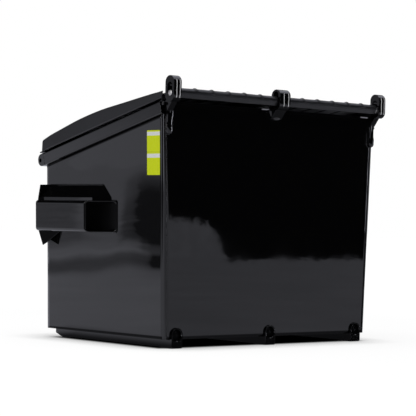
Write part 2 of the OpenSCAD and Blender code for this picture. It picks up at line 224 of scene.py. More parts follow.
@dataclass(frozen=True)
class GlossPaint:
    """Black gloss enamel with orange peel, faint sheet waves and a little dust."""

    name: str = "gloss_black_enamel"
    deep: Triple = (0.0016, 0.0016, 0.0018)
    dusty: Triple = (0.005, 0.005, 0.005)
    smooth: float = 0.012
    rough: float = 0.04
    peel_scale: float = 300.0
    peel_depth: float = 0.0000014
    wave_scale: float = 7.0
    wave_depth: float = 0.00011
    index: float = 1.5

    def material(self) -> bpy.types.Material:
        """Builds the enamel: smudged roughness, two bumps and cloudy dust.

        Returns:
            The material.
        """
        made, g, place = start_material(self.name)
        clouds = g.noise(place, 2.6, 4.0, 0.6)
        speck = g.noise(place, 95.0, 3.0, 0.7)
        dust = g.math("MULTIPLY", g.ramp(clouds, 0.48, 0.72), g.ramp(speck, 0.5, 0.75))
        colour = g.mix(dust, rgba(self.deep), rgba(self.dusty))
        smudge = g.math("ADD", g.math("MULTIPLY", clouds, 0.75), g.math("MULTIPLY", speck, 0.25))
        roughness = g.ramp(smudge, 0.35, 0.7, self.smooth, self.rough)
        waves = g.bump(g.noise(place, self.wave_scale, 1.0), self.wave_depth)
        peel = g.bump(g.noise(place, self.peel_scale, 1.0), self.peel_depth, Normal=waves)
        shader = g.node("BsdfPrincipled", {"Base Color": colour, "Roughness": roughness, "Normal": peel,
                                           "IOR": self.index})
        g.node("OutputMaterial", {"Surface": shader.outputs[0]})
        return made


@dataclass(frozen=True)
class GlintStripePaint:
    """Black enamel with upright pale stripes at some places along X: painted highlights that stand for glints
    on a lug's rounded edges.
    """

    name: str
    places: tuple[float, ...]
    half: float = 2.6 * MM
    fray: float = 1.2 * MM
    deep: Triple = (0.0016, 0.0016, 0.0018)
    pale: Triple = (0.88, 0.88, 0.9)
    smooth: float = 0.02
    rough: float = 0.4
    index: float = 1.5

    def material(self) -> bpy.types.Material:
        """Builds the enamel: each painted highlight stripe is a soft step in the distance from its place.

        Returns:
            The material.
        """
        made, g, place = start_material(self.name)
        x = g.node("SeparateXYZ", {"Vector": place}).outputs["X"]
        frayed = g.ramp(g.noise(place, 45.0, 3.0), 0.3, 0.7, -self.fray, self.fray)
        glint = 0.0
        for at in self.places:
            off = g.math("ABSOLUTE", g.math("SUBTRACT", g.math("ADD", x, frayed), at))
            glint = g.math("MAXIMUM", glint, g.ramp(off, self.half, self.half * 0.4))
        # Painted highlight: the pale stripes stand for glints on the lug's rounded edges.
        colour = g.mix(glint, rgba(self.deep), rgba(self.pale))
        roughness = g.ramp(glint, 0.0, 1.0, self.smooth, self.rough)
        shader = g.node("BsdfPrincipled", {"Base Color": colour, "Roughness": roughness, "IOR": self.index})
        g.node("OutputMaterial", {"Surface": shader.outputs[0]})
        return made


@dataclass(frozen=True)
class MouldedPlastic:
    """Satin dark-grey moulded plastic with a fine grain and pale scuffs."""

    name: str = "moulded_lid_plastic"
    body: Triple = (0.0074, 0.0077, 0.0092)
    scuff: Triple = (0.022, 0.0225, 0.025)
    smooth: float = 0.3
    rough: float = 0.46
    grain_scale: float = 620.0
    grain_depth: float = 0.00007
    index: float = 1.44

    def material(self) -> bpy.types.Material:
        """Builds the plastic: grain bump, cloudy roughness and streaked scuffs.

        Returns:
            The material.
        """
        made, g, place = start_material(self.name)
        stretched = g.node("Mapping", {"Vector": place, "Scale": (60.0, 5.0, 9.0)}).outputs[0]
        clouds = g.noise(place, 4.0, 4.0, 0.6)
        streak = g.noise(stretched, 1.0, 4.0, 0.65)
        scuffs = g.math("MULTIPLY", g.ramp(streak, 0.58, 0.72), g.ramp(clouds, 0.45, 0.65))
        colour = g.mix(scuffs, rgba(self.body), rgba(self.scuff))
        roughness = g.ramp(clouds, 0.3, 0.7, self.smooth, self.rough)
        grain = g.bump(g.noise(place, self.grain_scale, 2.0), self.grain_depth)
        shader = g.node("BsdfPrincipled", {"Base Color": colour, "Roughness": roughness, "Normal": grain,
                                           "IOR": self.index})
        g.node("OutputMaterial", {"Surface": shader.outputs[0]})
        return made


@dataclass(frozen=True)
class DrawnSteel:
    """Bright drawn steel bar with fine lines along X and a few dark spots."""

    name: str = "drawn_steel"
    bright: Triple = (0.66, 0.65, 0.63)
    dimmed: Triple = (0.3, 0.27, 0.24)
    smooth: float = 0.2
    rough: float = 0.42
    line_depth: float = 0.00003

    def material(self) -> bpy.types.Material:
        """Builds the steel: drawn lines in bump and roughness, and tarnish spots.

        Returns:
            The material.
        """
        made, g, place = start_material(self.name)
        stretched = g.node("Mapping", {"Vector": place, "Scale": (6.0, 900.0, 900.0)}).outputs[0]
        lines = g.noise(stretched, 1.0, 2.0)
        spots = g.ramp(g.noise(place, 38.0, 4.0, 0.65), 0.56, 0.68)
        colour = g.mix(spots, rgba(self.bright), rgba(self.dimmed))
        roughness = g.ramp(lines, 0.3, 0.7, self.smooth, self.rough)
        shader = g.node("BsdfPrincipled", {"Base Color": colour, "Roughness": roughness, "Metallic": 1.0,
                                           "Normal": g.bump(lines, self.line_depth)})
        g.node("OutputMaterial", {"Surface": shader.outputs[0]})
        return made


@dataclass(frozen=True)
class VinylDecal:
    """Yellow vinyl with a plain white band near its top and a thin margin."""

    name: str
    low_z: float
    high_z: float
    yellow: Triple = (0.6, 0.7, 0.001)
    white: Triple = (0.7, 0.72, 0.7)
    band_low: float = 0.755
    band_high: float = 0.93
    edge: float = 0.6 * MM
    print_depth: float = 0.1 * MM
    index: float = 1.32

    def material(self) -> bpy.types.Material:
        """Builds the vinyl: the band is a step in height, with faint print mottle.

        Returns:
            The material.
        """
        made, g, place = start_material(self.name)
        height = g.node("SeparateXYZ", {"Vector": place}).outputs["Z"]
        span = self.high_z - self.low_z
        low = self.low_z + span * self.band_low
        high = self.low_z + span * self.band_high
        inside = g.math("MULTIPLY", g.ramp(height, low - self.edge, low + self.edge),
                        g.ramp(height, high + self.edge, high - self.edge))
        mottle = g.ramp(g.noise(place, 140.0, 3.0), 0.3, 0.7, 0.93, 1.0)
        flat = g.mix(inside, rgba(self.yellow), rgba(self.white))
        roughness = g.ramp(mottle, 0.93, 1.0, 0.32, 0.24)
        bump = g.bump(g.noise(place, 55.0, 2.0), self.print_depth)
        colour = g.mix(1.0, flat, mottle, "MULTIPLY")
        shader = g.node("BsdfPrincipled", {"Base Color": colour, "Roughness": roughness,
                                           "Normal": bump, "IOR": self.index})
        g.node("OutputMaterial", {"Surface": shader.outputs[0]})
        return made


# ---------------------------------------------------------------- meshes


def grid_faces(rows: int, columns: int, wrap_rows: bool = False, wrap_columns: bool = False) -> np.ndarray:
    """Corner numbers of the quads of a grid of points.

    Args:
        rows: Number of points along the first parameter.
        columns: Number of points along the second parameter.
        wrap_rows: Whether the last row joins the first.
        wrap_columns: Whether the last column joins the first.

    Returns:
        An array of four corner numbers a face.
    """
    last_row = rows if wrap_rows else rows - 1
    last_column = columns if wrap_columns else columns - 1
    i, j = np.meshgrid(np.arange(last_row), np.arange(last_column), indexing="ij")
    i2, j2 = (i + 1) % rows, (j + 1) % columns
    quads = [i * columns + j, i2 * columns + j, i2 * columns + j2, i * columns + j2]
    return np.stack(quads, -1).reshape(-1, 4)


def new_piece(name: str, points: np.ndarray, faces: np.ndarray, merge: float = 0.0,
              outwards: bool = True) -> bpy.types.Object:
    """Makes a smooth-shaded object from points and quads.

    Args:
        name: The piece's name.
        points: Any array whose last axis is X, Y and Z, in metres.
        faces: Corner numbers, four a face.
        merge: Distance within which points become one.
        outwards: Whether the faces are turned to point outwards.

    Returns:
        The object, linked to the scene, at the origin.
    """
    mesh = bpy.data.meshes.new(name)
    mesh.from_pydata(points.reshape(-1, 3).tolist(), [], faces.tolist())
    if merge > 0 or outwards:
        work = bmesh.new()
        work.from_mesh(mesh)
        if merge > 0:
            bmesh.ops.remove_doubles(work, verts=work.verts, dist=merge)
        if outwards:
            bmesh.ops.recalc_face_normals(work, faces=work.faces)
        work.to_mesh(mesh)
        work.free()
    mesh.polygons.foreach_set("use_smooth", np.ones(len(mesh.polygons), bool))
    made = bpy.data.objects.new(name, mesh)
    bpy.context.scene.collection.objects.link(made)
    return made


def add_bevel(piece: bpy.types.Object, width: float, segments: int = 3, angle: float = 30.0) -> None:
    """Rounds a piece's edges and evens its shading.

    Args:
        piece: The object.
        width: The bevel's width in metres.
        segments: Steps across the bevel.
        angle: Edges sharper than this, in degrees, are rounded.
    """
    bevel = piece.modifiers.new("edges", "BEVEL")
    bevel.width = width
    bevel.segments = segments
    bevel.limit_method = "ANGLE"
    bevel.angle_limit = math.radians(angle)
    bevel.use_clamp_overlap = True
    bevel.miter_outer = "MITER_ARC"
    bevel.material = 0
    shading = piece.modifiers.new("shading", "WEIGHTED_NORMAL")
    shading.keep_sharp = False
    shading.weight = 60


def finish_piece(piece: bpy.types.Object, body: Body, slot: Slot, material: bpy.types.Material,
                 *replaced: str) -> bpy.types.Object:
    """Gives a piece its material and body, and hides the CAD nodes that it stands for.

    Args:
        piece: The object.
        body: The body that it rides on.
        slot: The record's material slot; not used.
        material: The finish.
        *replaced: CAD nodes that it stands for.

    Returns:
        The same object.
    """
    piece.data.materials.clear()
    piece.data.materials.append(material)
    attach(piece, body.value)
    if replaced:
        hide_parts(*replaced)
    LOG.info("%s rides on %s", piece.name, body.value)
    return piece


def rounded_cad_copy(node: str, name: str, width: float, segments: int = 3) -> bpy.types.Object:
    """Copies a CAD node, joins its loose triangles into flat faces and rounds its edges.

    Args:
        node: The CAD node.
        name: The new piece's name.
        width: The rounding's width in metres.
        segments: Steps across the rounding.

    Returns:
        The new object.
    """
    mesh = frame["nodes"][node].data.copy()
    mesh.name = name
    mesh.materials.clear()
    work = bmesh.new()
    work.from_mesh(mesh)
    bmesh.ops.remove_doubles(work, verts=work.verts, dist=5e-6)
    bmesh.ops.dissolve_limit(work, angle_limit=math.radians(0.4), verts=work.verts, edges=work.edges)
    work.to_mesh(mesh)
    work.free()
    if "custom_normal" in mesh.attributes:
        mesh.attributes.remove(mesh.attributes["custom_normal"])
    mesh.polygons.foreach_set("use_smooth", np.ones(len(mesh.polygons), bool))
    made = bpy.data.objects.new(name, mesh)
    bpy.context.scene.collection.objects.link(made)
    add_bevel(made, width, segments)
    return made


def lathe(name: str, profile: np.ndarray, centre: Vector, turns: int = 40,
          along_y: bool = False) -> bpy.types.Object:
    """Turns a closed profile about an axis along X or Y.

    A point at distance r from the axis and x along it goes to (x, r cos a, r sin a),
    or to (r cos a, x, r sin a) about an axis along Y.

    Args:
        name: The piece's name.
        profile: Rows of x and r, in metres, round a closed outline or from pole to pole.
        centre: The point that the profile's x and r are counted from.
        turns: Number of steps round the axis.
        along_y: Whether the axis runs along Y.

    Returns:
        The new object.
    """
    angle = np.linspace(0, 2 * np.pi, turns, endpoint=False)
    x = np.broadcast_to(profile[:, :1], (len(profile), turns))
    y = profile[:, 1:] * np.cos(angle)
    z = profile[:, 1:] * np.sin(angle)
    points = np.stack([y, x, z] if along_y else [x, y, z], -1) + np.array(centre)
    closed = bool(profile[0, 1] > 0)
    return new_piece(name, points, grid_faces(len(profile), turns, closed, True), merge=1e-7)


def round_end(share: np.ndarray) -> np.ndarray:
    """A quarter circle's height, the root of 1 - (1 - share) squared, kept at 1 beyond a share of 1."""
    return np.sqrt(np.clip(1 - np.clip(1 - share, 0, 1) ** 2, 0, 1))


def swept_pad(name: str, path: np.ndarray, half_width: np.ndarray, rise: float,
              sides: int = 20) -> bpy.types.Object:
    """Sweeps a flattened oval along a path that lies in a plane square to Y.

    The oval's point at angle a lies half_width cos a beside the path and rise sin a behind
    it. The half width falls to nothing at both ends, so the pad is closed.

    Args:
        name: The piece's name.
        path: Rows of X, Y and Z.
        half_width: Half width at each row.
        rise: How far the pad stands out along Y.
        sides: Number of points round the oval.

    Returns:
        The new object.
    """
    ahead = np.gradient(path, axis=0)
    side = np.stack([ahead[:, 2], np.zeros(len(path)), -ahead[:, 0]], 1)
    side /= np.linalg.norm(side, axis=1)[:, None]
    angle = np.linspace(0, 2 * np.pi, sides, endpoint=False)
    depth = rise * np.sqrt(half_width / half_width.max())
    out = depth[:, None, None] * np.sin(angle)[None, :, None] * np.array([0.0, 1.0, 0.0])
    points = path[:, None] + side[:, None] * np.cos(angle)[None, :, None] * half_width[:, None, None] + out
    return new_piece(name, points, grid_faces(len(path), sides, False, True), merge=1e-7)


def mesh_corners(mesh: bpy.types.Mesh) -> np.ndarray:
    """The corner points of a mesh, as rows of X, Y and Z."""
    corners = np.empty(len(mesh.vertices) * 3)
    mesh.vertices.foreach_get("co", corners)
    return corners.reshape(-1, 3)


def shade_where(piece: bpy.types.Object, material: bpy.types.Material, chosen: FacePicker) -> None:
    """Gives some faces one more finish; the others and the rounded edges keep theirs.

    Args:
        piece: An object that has its first finish.
        material: The finish to add.
        chosen: Takes face centres and face normals, and returns a mask.
    """
    mesh = piece.data
    centres, normals = np.empty(len(mesh.polygons) * 3), np.empty(len(mesh.polygons) * 3)
    mesh.polygons.foreach_get("center", centres)
    mesh.polygons.foreach_get("normal", normals)
    mask = chosen(centres.reshape(-1, 3), normals.reshape(-1, 3))
    mesh.materials.append(material)
    index = np.empty(len(mesh.polygons), np.int32)
    mesh.polygons.foreach_get("material_index", index)
    index[mask] = len(mesh.materials) - 1
    mesh.polygons.foreach_set("material_index", index)


def spaced(path: np.ndarray, step: float) -> np.ndarray:
    """Points at even steps along a polyline.

    Args:
        path: Rows of X, Y and Z.
        step: Distance between points, in metres.

    Returns:
        The new rows.
    """
    length = np.concatenate([[0], np.cumsum(np.linalg.norm(np.diff(path, axis=0), axis=1))])
    at = np.linspace(0, length[-1], max(4, int(round(length[-1] / step)) + 1))
    return np.stack([np.interp(at, length, path[:, k]) for k in range(3)], 1)


@dataclass
class WeldBead:
    """A rippled bead of weld along a seam.

    The bead is a tube round the seam. Its radius swells once each pitch as the absolute
    value of a sine, drifts slowly with two longer waves, and falls to nothing at the ends.
    """

    radius: float = 4.6 * MM
    pitch: float = 13.0 * MM
    swell: float = 0.34
    sides: int = 8

    def points(self, path: np.ndarray, seed: float) -> np.ndarray:
        """Rings of the bead.

        Args:
            path: The seam's corner points.
            seed: Number that shifts the bead's slow waves.

        Returns:
            An array of rings, points and coordinates.
        """
        line = spaced(path, self.pitch / 3)
        count = len(line)
        run = np.arange(count) * self.pitch / 3
        ahead = np.gradient(line, axis=0)
        ahead /= np.linalg.norm(ahead, axis=1)[:, None]
        guide = np.where(np.abs(ahead[:, 2:]) < 0.9, [[0.0, 0.0, 1.0]], [[0.0, 1.0, 0.0]])
        side = np.cross(ahead, guide)
        side /= np.linalg.norm(side, axis=1)[:, None]
        up = np.cross(side, ahead)
        ripple = np.abs(np.sin(np.pi * run / self.pitch + seed))
        drift = 0.06 * np.sin(run * 31 + seed * 3) + 0.05 * np.sin(run * 77 + seed)
        closing = round_end(np.minimum(run, run[-1] - run) / self.radius)
        radius = self.radius * (1 - self.swell + self.swell * ripple + drift) * closing
        angle = np.linspace(0, 2 * np.pi, self.sides, endpoint=False)
        ring = side[:, None] * np.cos(angle)[None, :, None] + up[:, None] * np.sin(angle)[None, :, None]
        return line[:, None] + ring * radius[:, None, None]

    def piece(self, name: str, seams: list[np.ndarray]) -> bpy.types.Object:
        """One object that holds a bead along each seam.

        Args:
            name: The piece's name.
            seams: Corner points of each seam.

        Returns:
            The new object.
        """
        points, faces, start = [], [], 0
        for number, seam in enumerate(seams):
            rings = self.points(np.asarray(seam, float), number * 1.7)
            points.append(rings.reshape(-1, 3))
            faces.append(grid_faces(len(rings), self.sides, False, True) + start)
            start += rings.shape[0] * rings.shape[1]
        return new_piece(name, np.concatenate(points), np.concatenate(faces), merge=1e-7)


# ---------------------------------------------------------------- container body


@dataclass
class Shell:
    """Sheet panels, corners, rims, runners, pockets and lugs of the welded body."""

    paint: bpy.types.Material
    # Shaded copy of the enamel: painted shade for faces that lie in shadow.
    dimmed: bpy.types.Material
    lean: float = 0.0345
    sheet: float = 4 * MM
    corner: float = 20 * MM
    side_bow: float = 0.9 * MM
    rear_bow: float = 0.3 * MM
    wall_share: float = 0.94
    broad_rounding: float = 4.0
    near: float = 3 * MM
    head_height: float = 40 * MM
    foot_half: float = 22 * MM
    # Where the two painted highlight stripes lie across a hinge plate's head.
    glint_shares: tuple[float, float] = (0.38, 0.82)
    # Radius of the painted-shade disc behind each tow eye.
    shade_disc_radius: float = 33.5 * MM
    bead: WeldBead = field(default_factory=WeldBead)

    def __post_init__(self) -> None:
        """Reads the body's planes from the CAD boxes."""
        rear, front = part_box("rear_panel"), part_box("front_panel")
        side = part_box("right_side_panel")
        self.rear_y, self.front_y = rear[1].y, front[0].y
        self.low_z = rear[0].z
        self.rear_z, self.front_z = side[1].z, front[1].z
        self.rim_in_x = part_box("right_rim")[0].x
        self.slope = (self.rear_z - self.front_z) / (side[1].y - self.front_y)
        self.ground_x = side[1].x - self.lean * side[1].z

    def side_x(self, z: np.ndarray | float) -> np.ndarray | float:
        """Outer face of the right side panel at a height."""
        return self.ground_x + self.lean * z

    def top_z(self, y: np.ndarray | float) -> np.ndarray | float:
        """Height of the body's top edge at a distance along it."""
        return self.front_z + (y - self.front_y) * self.slope

    def bowed(self, u: np.ndarray, v: np.ndarray, phase: float, bow: float) -> np.ndarray:
        """How far a welded sheet bows out, in metres.

        The bow is a sum of three long sines in the sheet's two parameters, times a product
        of sines that holds the sheet's edges still.

        Args:
            u: First parameter, 0 to 1.
            v: Second parameter, 0 to 1.
            phase: Number that shifts the waves.
            bow: Size of the largest wave, in metres.

        Returns:
            The bow at each point.
        """
        hold = np.sin(np.pi * u) ** 0.5 * np.sin(np.pi * v) ** 0.5
        waves = (np.sin(5.1 * u + phase) * np.cos(3.7 * v - phase) + 0.5 * np.sin(9.3 * v + 4.2 * u + phase)
                 + 0.35 * np.cos(12.7 * u - 6.1 * v + 2 * phase))
        return bow * hold * waves

    def sheet_piece(self, name: str, points: np.ndarray, node: str) -> None:
        """Makes a panel from its outer face.

        Args:
            name: The piece's name.
            points: Grid of points on the outer face, whose faces point outwards.
            node: The CAD node that it stands for.
        """
        made = new_piece(name, points, grid_faces(*points.shape[:2]), outwards=False)
        wall = made.modifiers.new("wall", "SOLIDIFY")
        wall.thickness = self.sheet
        wall.offset = -1.0
        finish_piece(made, Body.CONTAINER, Slot.PAINT, self.paint, node)

    def build_panels(self) -> None:
        """Builds the four walls: flat trapezoids on a grid, each bowed a little."""
        u, v = np.meshgrid(np.linspace(0, 1, 90), np.linspace(0, 1, 70), indexing="ij")
        for sign, label in ((1, "right"), (-1, "left")):
            y = self.front_y + self.corner + u * (self.rear_y - self.front_y - 2 * self.corner)
            z = self.low_z + v * (self.top_z(y) - self.low_z)
            x = self.side_x(z) + self.bowed(u, v, 0.4, self.side_bow)
            points = np.stack([x * sign, y, z], -1)[::sign]
            self.sheet_piece(f"{label}_side_sheet", points, f"{label}_side_panel")
        rim_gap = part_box("rear_panel")[1].z - self.rear_z
        ends = ((self.rear_y, self.rear_z, "rear", 2.1), (self.front_y, self.front_z, "front", 4.0))
        for y, top, label, phase in ends:
            z = self.low_z + np.minimum(v / self.wall_share, 1.0) * (top - self.low_z)
            half = self.side_x(z) - self.corner
            if label == "rear":
                behind_rim = v > self.wall_share
                past_wall = (v - self.wall_share) / (1 - self.wall_share)
                z += np.where(behind_rim, 0.5 * MM + past_wall * rim_gap, 0.0)
                half = np.where(behind_rim, self.rim_in_x, half)
            x = (2 * u - 1) * half
            away = 1 if label == "rear" else -1
            points = np.stack([x, y + away * self.bowed(u, v, phase, self.rear_bow), z], -1)
            self.sheet_piece(f"{label}_sheet", points[::-1] if away > 0 else points, f"{label}_panel")

    def build_steelwork(self) -> None:
        """Carries the other painted CAD nodes over, with rounded edges."""
        widths = {
            "floor_panel": 1.0,
            "right_rear_corner": 1.0, "left_rear_corner": 1.0,
            "right_front_corner": 1.0, "left_front_corner": 1.0,
            "front_rim": 2.0, "rear_rim": 2.0, "right_rim": 2.0, "left_rim": 2.0,
            "right_runner": 3.0, "middle_runner": 3.0, "left_runner": 3.0,
            "front_wear_pads": 1.5, "rear_wear_pads": 1.5,
            "right_fork_pocket": 2.2, "left_fork_pocket": 2.2, "right_pocket_saddle": 2.0,
            "left_pocket_saddle": 2.0, "right_end_gusset": 2.0, "left_end_gusset": 2.0,
            "right_lower_gusset": 3.0, "left_lower_gusset": 3.0,
            "right_hinge_ear": 8.0, "left_hinge_ear": 8.0, "middle_hinge_bracket": 8.0,
        }
        painted_shade_faces = self.painted_shade_faces()
        for node, width in widths.items():
            segments = 5 if width > self.broad_rounding else 3
            made = rounded_cad_copy(node, f"{node}_steel", width * MM, segments)
            finish_piece(made, Body.CONTAINER, Slot.PAINT, self.paint, node)
            kind = node.split("_", 1)[1]
            # Faces in shadow take the shaded enamel: painted shade.
            if kind in painted_shade_faces:
                shade_where(made, self.dimmed, painted_shade_faces[kind])
            # Hinge plates take two painted highlight stripes on their rear faces.
            if kind in ("hinge_ear", "hinge_bracket"):
                self.paint_lug_glints(made, node)

    def paint_lug_glints(self, made: bpy.types.Object, node: str) -> None:
        """Gives a hinge plate's rear face two upright painted highlight stripes, at shares of its head's
        width.

        Args:
            made: The plate's piece.
            node: Its CAD node.
        """
        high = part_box(node)[1]
        corners = mesh_corners(made.data)
        head = corners[corners[:, 2] > high.z - self.head_height][:, 0]
        places = tuple(head.max() - share * np.ptp(head) for share in self.glint_shares)
        glinting = GlintStripePaint(f"{node}_glinting_enamel", places).material()
        shade_where(made, glinting, lambda c, n: (n[:, 1] > 0.9) & (c[:, 1] > high.y - self.near))

    def painted_shade_faces(self) -> dict[str, FacePicker]:
        """Which faces of some nodes take the shaded enamel as painted shade: tow plates, pocket insides,
        lower gussets and the undersides of the hinge plates.

        Returns:
            For each kind of node, a function of face centres and normals that returns a mask.
        """
        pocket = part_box("right_fork_pocket")
        axis_z = (pocket[0].z + pocket[1].z) / 2
        axis_out = (pocket[1].x - self.side_x(pocket[1].z)) / 2

        def inside_pocket(centres: np.ndarray, normals: np.ndarray) -> np.ndarray:
            """Picks the faces that don't look away from the pocket's long axis."""
            sign = np.sign(centres[:, 0])
            out = np.abs(centres[:, 0]) - self.side_x(centres[:, 2]) - axis_out
            up = centres[:, 2] - axis_z
            facing = (normals[:, 0] * sign * out + normals[:, 2] * up) / (np.hypot(out, up) + 1e-6)
            return facing < 0.5

        def everywhere(centres: np.ndarray, normals: np.ndarray) -> np.ndarray:
            """Picks every face."""
            return np.ones(len(centres), bool)

        return {
            "runner": lambda c, n: (n[:, 1] > 0.9) & (c[:, 1] > self.rear_y + self.near),
            "fork_pocket": inside_pocket,
            "lower_gusset": everywhere,
            "hinge_ear": lambda c, n: n[:, 2] < -0.3,
            "hinge_bracket": lambda c, n: n[:, 2] < -0.3,
        }

    def build_lug_pads(self) -> None:
        """Adds the swelling feet of the hinge plates.

        A side plate's foot has a midline that sways as a sine, and a half width that grows
        towards its round lower end. The middle plate's foot is a dome.
        """
        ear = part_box("right_hinge_ear")
        count = 60
        t = np.linspace(0, 1, count)
        low, high = ear[0].z + 1 * MM, self.rear_z + 55 * MM
        z = high + (low - high) * t
        swelling = 14 * MM + 9 * MM * np.clip((t - 0.45) / 0.3, 0, 1)
        width = swelling * round_end((z - low) / (23 * MM)) * round_end((high - z) / (12 * MM))
        for sign, label in ((1, "right"), (-1, "left")):
            x = sign * (ear[0].x + self.foot_half - 7 * MM * np.sin(2 * np.pi * t))
            path = np.stack([x, np.full(count, self.rear_y + 16 * MM), z], 1)
            pad = swept_pad(f"{label}_lug_pad", path, width, 12 * MM)
            finish_piece(pad, Body.CONTAINER, Slot.PAINT, self.paint)
        radius, bulge, back = 60 * MM, 12 * MM, -6 * MM
        arc = np.linspace(0, np.pi / 2, 14)
        dome = np.stack([bulge * np.cos(arc), radius * np.sin(arc)], 1)
        profile = np.concatenate([dome, [[back, radius * 0.98], [back, 0.0]]])
        foot_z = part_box("middle_hinge_bracket")[0].z
        centre = Vector((0, self.rear_y + 19 * MM, foot_z + radius))
        pad = lathe("middle_lug_pad", profile, centre, 48, True)
        finish_piece(pad, Body.CONTAINER, Slot.PAINT, self.paint)

    def build_tow_shade_discs(self) -> None:
        """Lays a thin disc of the shaded enamel on the rear panel behind each tow eye: painted shade that
        darkens the eye's hole.
        """
        front, back = 1.0 * MM, -0.8 * MM
        profile = np.array([(front, 0.0), (front, self.shade_disc_radius), (back, self.shade_disc_radius), (back, 0.0)])
        for node in ("right_runner", "middle_runner", "left_runner"):
            low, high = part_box(node)
            eye_z = high.z - (high.x - low.x) / 2
            centre = Vector(((low.x + high.x) / 2, self.rear_y + 1.2 * MM, eye_z))
            # Painted shade: a dark disc where the hole would show the glossy panel.
            shade_disc = lathe(f"{node}_shade_disc", profile, centre, 40, True)
            finish_piece(shade_disc, Body.CONTAINER, Slot.PAINT, self.dimmed)

    def runner_seams(self, node: str, sign: int) -> list[np.ndarray]:
        """The two seams between a runner and the floor, on one side of the middle."""
        low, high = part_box(node)
        ends = (low.y + 10 * MM, self.rear_y - 4 * MM)
        return [np.array([(sign * x, y, self.low_z) for y in ends]) for x in (low.x, high.x)]

    def build_welds(self) -> None:
        """Lays weld beads along the corners, pockets, lugs and runners."""
        pocket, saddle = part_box("right_fork_pocket"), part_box("right_pocket_saddle")
        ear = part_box("right_hinge_ear")
        foot, middle = self.foot_half, ear[0].x + self.foot_half
        arc = np.linspace(np.pi, 2 * np.pi, 15)
        corners, pockets, lugs, skids = [], [], [], []
        for sign in (1, -1):
            for y, top in ((self.rear_y, self.rear_z), (self.front_y, self.front_z)):
                heights = (self.low_z + 4 * MM, top - 6 * MM)
                corners.append(np.array([(sign * (self.side_x(z) - self.corner), y, z) for z in heights]))
            pocket_ends = (pocket[0].y + 10 * MM, pocket[1].y - 12 * MM)
            saddle_ends = (saddle[0].y + 4 * MM, saddle[1].y - 80 * MM)
            lines = ((pocket[0].z + 2 * MM, pocket_ends, 0.0), (pocket[1].z, pocket_ends, 0.0),
                     (saddle[1].z, saddle_ends, 1 * MM))
            for z, ends, drop in lines:
                out = sign * (self.side_x(z) + 1 * MM)
                pockets.append(np.array([(out, y, z - drop) for y in ends]))
            shoulder_z = self.rear_z - 12 * MM
            outline = [(middle - foot, self.rear_y, shoulder_z)]
            outline += [(middle + foot * math.cos(a), self.rear_y, ear[0].z + foot * (1 + math.sin(a)))
                        for a in arc]
            outline += [(middle + foot, self.rear_y, shoulder_z)]
            lugs.append(np.array(outline) * (sign, 1, 1))
            skids += self.runner_seams("right_runner", sign)
        skids += self.runner_seams("middle_runner", 1)
        groups = {"corner_welds": corners, "pocket_welds": pockets, "lug_welds": lugs, "runner_welds": skids}
        for name, seams in groups.items():
            finish_piece(self.bead.piece(name, seams), Body.CONTAINER, Slot.PAINT, self.paint)

    def build_rim_stops(self) -> None:
        """Adds a round lid stop at the rear end of each side rim.

        The stop's radius is the square root of 1 less the fourth power of the way from its middle.
        """
        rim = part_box("right_rim")
        t = np.linspace(0, 1, 12)
        radius = 11 * MM * np.sqrt(np.clip(1 - (2 * t - 1) ** 4, 0, 1))
        radius[0] = radius[-1] = 0.0
        profile = np.stack([(t - 0.5) * 18 * MM, radius], 1)
        for sign, label in ((1, "right"), (-1, "left")):
            centre = Vector((sign * (rim[1].x - 12 * MM), rim[1].y, self.rear_z + 66 * MM))
            knob = lathe(f"{label}_lid_stop", profile, centre, 24)
            finish_piece(knob, Body.CONTAINER, Slot.PAINT, self.paint)

    def build(self) -> None:
        """Builds every piece of the welded body."""
        self.build_panels()
        self.build_steelwork()
        self.build_welds()
        self.build_rim_stops()
        self.build_lug_pads()
        self.build_tow_shade_discs()


# ---------------------------------------------------------------- hinge rod


@dataclass
class HingeRod:
    """The loose steel rod with its two stop collars."""

    steel: bpy.types.Material
    chamfer: float = 3 * MM

    def build(self) -> None:
        """Turns the rod with chamfered ends, and the collars with rounded edges."""
        low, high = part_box("lid_rod")
        centre = (low + high) / 2
        radius, half, cut = (high.z - low.z) / 2, (high.x - low.x) / 2, self.chamfer
        eased = 0.3 * cut
        right_end = np.array([(half - cut, radius), (half - eased, radius - eased),
                              (half, radius - cut), (half, 0.0)])
        left_end = right_end[::-1] * (-1, 1)
        along = np.stack([np.linspace(-half + 2 * cut, half - 2 * cut, 40), np.full(40, radius)], 1)
        rod = lathe("hinge_rod", np.concatenate([left_end, along, right_end]), centre, 48)
        finish_piece(rod, Body.ROD, Slot.STEEL, self.steel, "lid_rod")
        collars = rounded_cad_copy("rod_collars", "stop_collars", 1.5 * MM)
        finish_piece(collars, Body.ROD, Slot.STEEL, self.steel, "rod_collars")


# ---------------------------------------------------------------- lids


